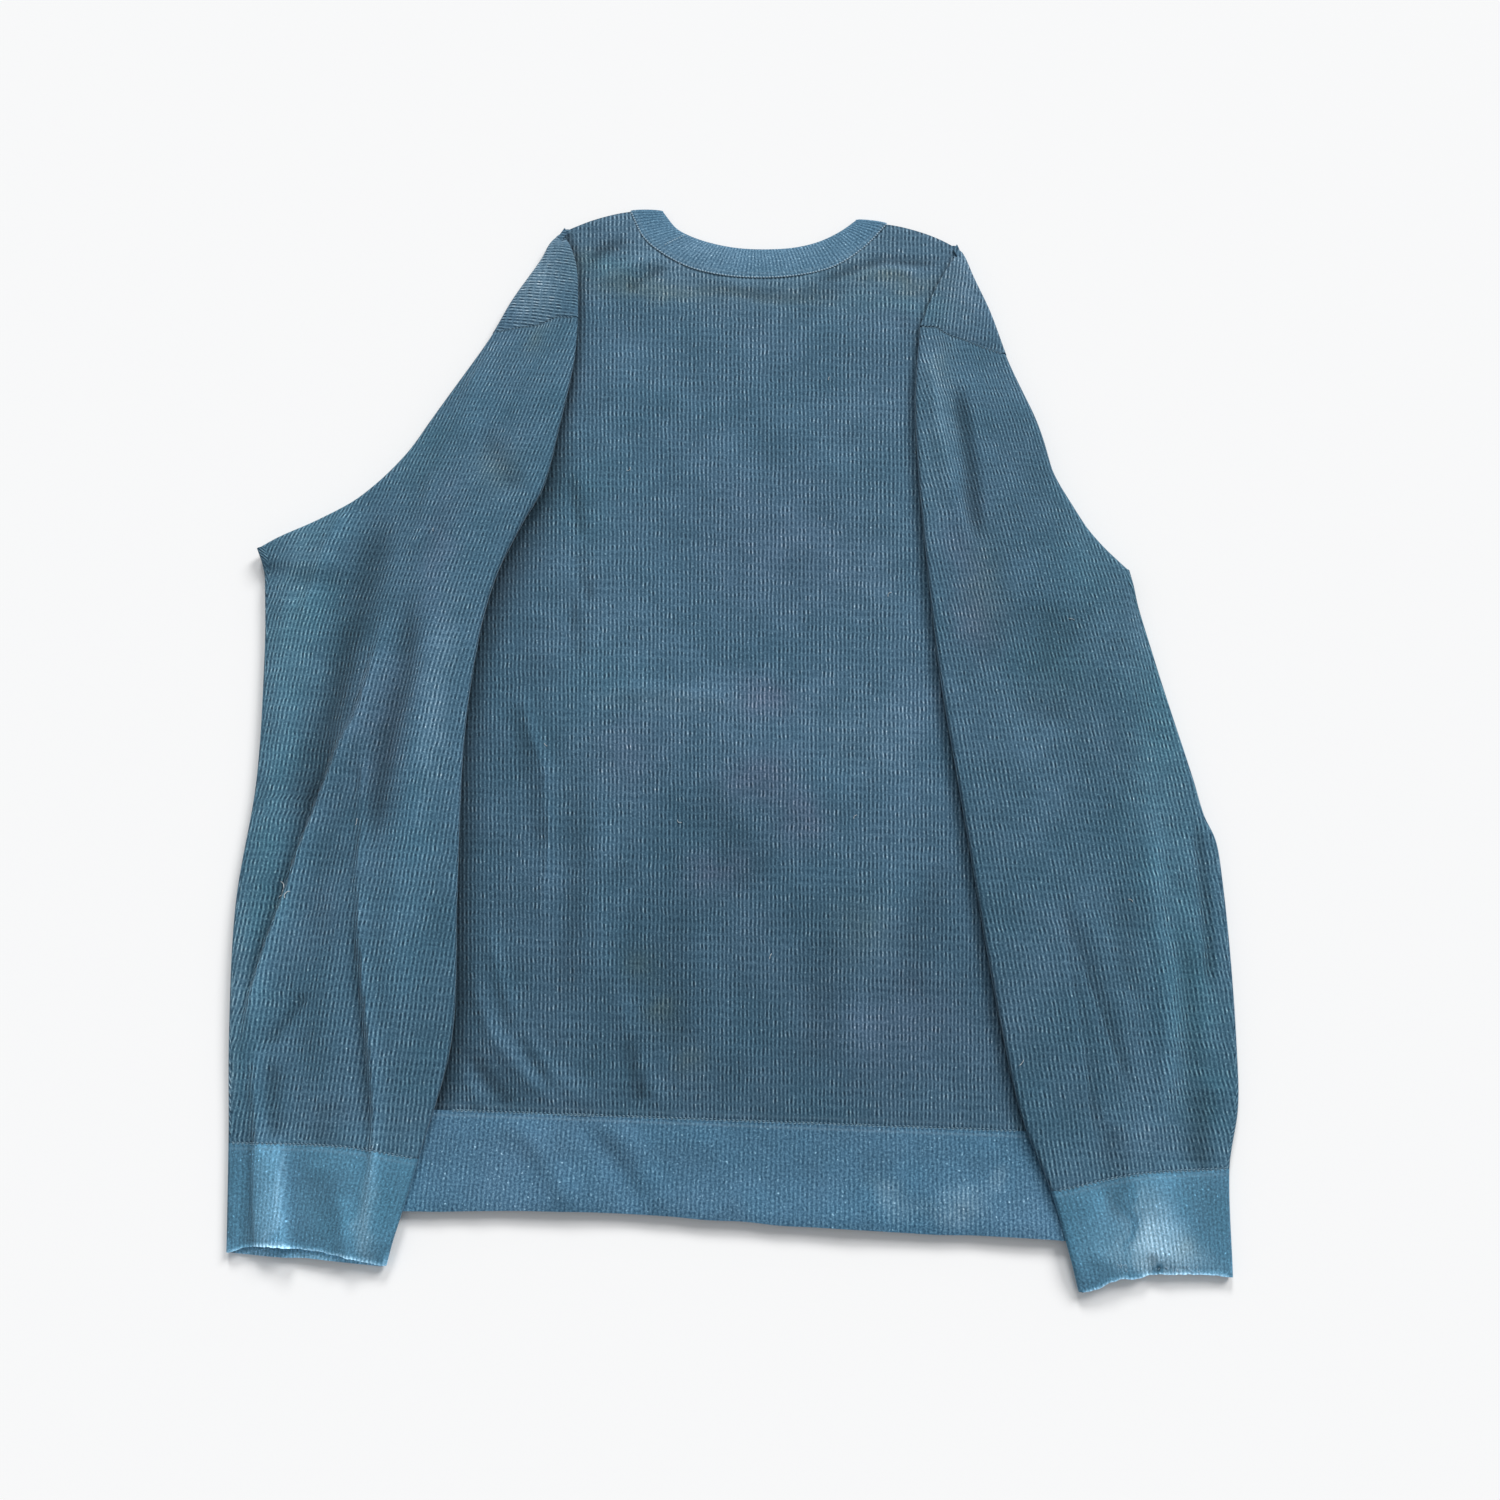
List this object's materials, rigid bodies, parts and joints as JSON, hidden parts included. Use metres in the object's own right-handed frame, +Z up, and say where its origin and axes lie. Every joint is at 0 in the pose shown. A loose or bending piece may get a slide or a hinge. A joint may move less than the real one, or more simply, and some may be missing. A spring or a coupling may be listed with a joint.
{
  "type": "folded knitted pullover",
  "caption": "Worn fine-knit crew-neck pullover lying face down, both sleeves turned back over its back, with ribbed neckband, cuffs and hem.",
  "frame": {"origin": "centre of the plan outline, on the surface the garment lies on", "axes": "+X towards the wearer's right sleeve, +Y towards the neck, +Z up out of the surface"},
  "size_m": [0.6422, 0.7518, 0.0102],
  "materials": {
    "body_knit": "faded blue ribbed knit, uneven wash, olive and grey stains",
    "sleeve_knit": "faded blue-green ribbed knit, paler on its creases",
    "rib_knit": "lighter blue close rib",
    "cuff_knit": "lighter blue close rib, bleached and worn at the edges"
  },
  "bodies": {
    "root": {"front_panel": "body_knit", "back_panel": "body_knit", "left_sleeve": "sleeve_knit", "right_sleeve": "sleeve_knit", "neckband": "rib_knit", "hem_band": "rib_knit", "left_cuff": "cuff_knit", "right_cuff": "cuff_knit"}
  },
  "joints": []
}
